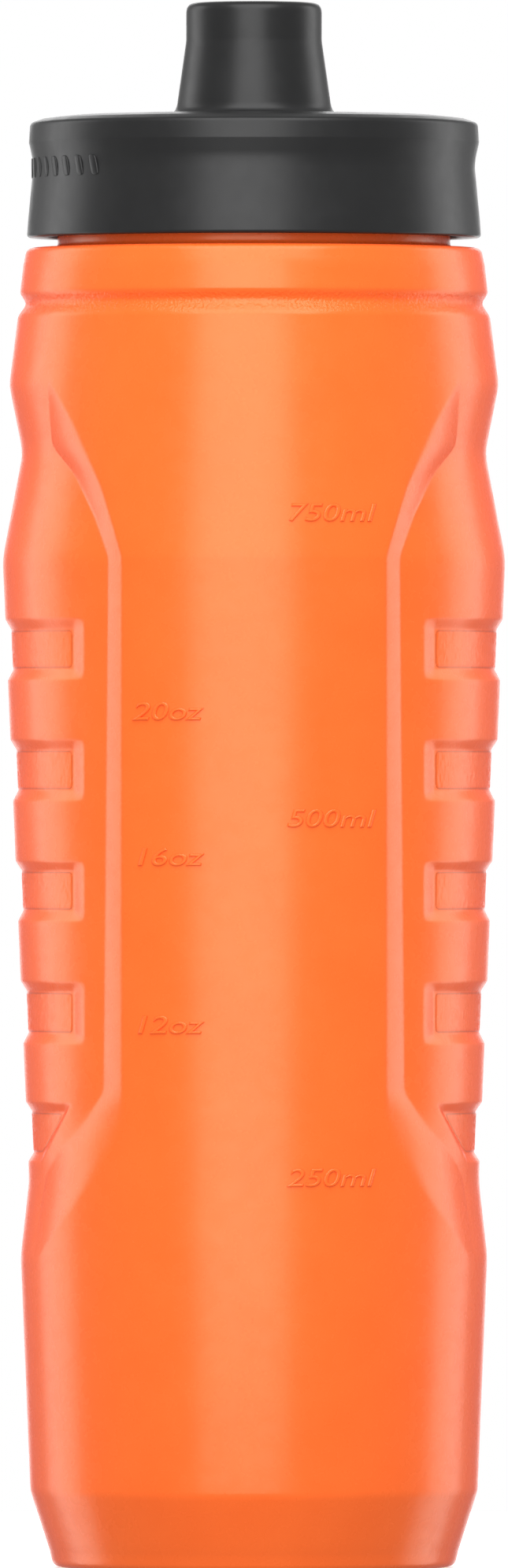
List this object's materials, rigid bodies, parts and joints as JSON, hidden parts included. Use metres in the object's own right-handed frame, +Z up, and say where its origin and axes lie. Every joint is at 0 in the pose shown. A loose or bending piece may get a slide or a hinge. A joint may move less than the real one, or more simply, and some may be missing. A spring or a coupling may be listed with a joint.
{
  "type": "sports squeeze bottle",
  "caption": "Squeeze bottle with notched side grips, a right-hand screw cap and a straight drinking nozzle holding a self-sealing cross-slit valve.",
  "frame": {"origin": "centre of the ring the bottle stands on, at table height", "axes": "+Z up along the bottle's axis; the smooth volume-marked panel faces -Y and the notched grips face +X and -X"},
  "size_m": [0.083, 0.0866, 0.2582],
  "materials": {
    "bottle_plastic": "soft orange squeeze plastic with a low satin gloss",
    "cap_plastic": "fine satin moulded dark grey",
    "silicone": "smooth matte silicone"
  },
  "bodies": {
    "bottle": {"bottle_body": "bottle_plastic"},
    "gasket": {"cap_gasket": "silicone"},
    "cap": {"screw_cap": "cap_plastic", "valve_retainer": "cap_plastic", "valve_body": "silicone"},
    "flap_1": {"valve_flap_1": "silicone"},
    "flap_2": {"valve_flap_2": "silicone"},
    "flap_3": {"valve_flap_3": "silicone"},
    "flap_4": {"valve_flap_4": "silicone"}
  },
  "joints": [
    {"name": "cap_lift", "type": "slide", "parent": "bottle", "child": "gasket", "axis": [0, 0, 1], "range_m": [0, 0.02]},
    {"name": "cap_turn", "type": "hinge", "parent": "gasket", "child": "cap", "pos_m": [0, 0, 0.2282], "axis": [0, 0, 1], "range_deg": [0, 1440]},
    {"name": "flap_1_bend", "type": "hinge", "parent": "cap", "child": "flap_1", "pos_m": [0.00364, 0, 0.2534], "axis": [0, 1, 0], "range_deg": [0, 50], "stiffness_Nm_per_rad": 0.0001},
    {"name": "flap_2_bend", "type": "hinge", "parent": "cap", "child": "flap_2", "pos_m": [0, 0.00364, 0.2534], "axis": [-1, 0, 0], "range_deg": [0, 50], "stiffness_Nm_per_rad": 0.0001},
    {"name": "flap_3_bend", "type": "hinge", "parent": "cap", "child": "flap_3", "pos_m": [-0.00364, 0, 0.2534], "axis": [0, -1, 0], "range_deg": [0, 50], "stiffness_Nm_per_rad": 0.0001},
    {"name": "flap_4_bend", "type": "hinge", "parent": "cap", "child": "flap_4", "pos_m": [0, -0.00364, 0.2534], "axis": [1, 0, 0], "range_deg": [0, 50], "stiffness_Nm_per_rad": 0.0001}
  ],
  "couplings": [
    {"joint": "cap_lift", "follows": "cap_turn", "m_per_rad": 0.00079577},
    {"joint": "flap_2_bend", "follows": "flap_1_bend", "ratio": 1},
    {"joint": "flap_3_bend", "follows": "flap_1_bend", "ratio": 1},
    {"joint": "flap_4_bend", "follows": "flap_1_bend", "ratio": 1}
  ]
}
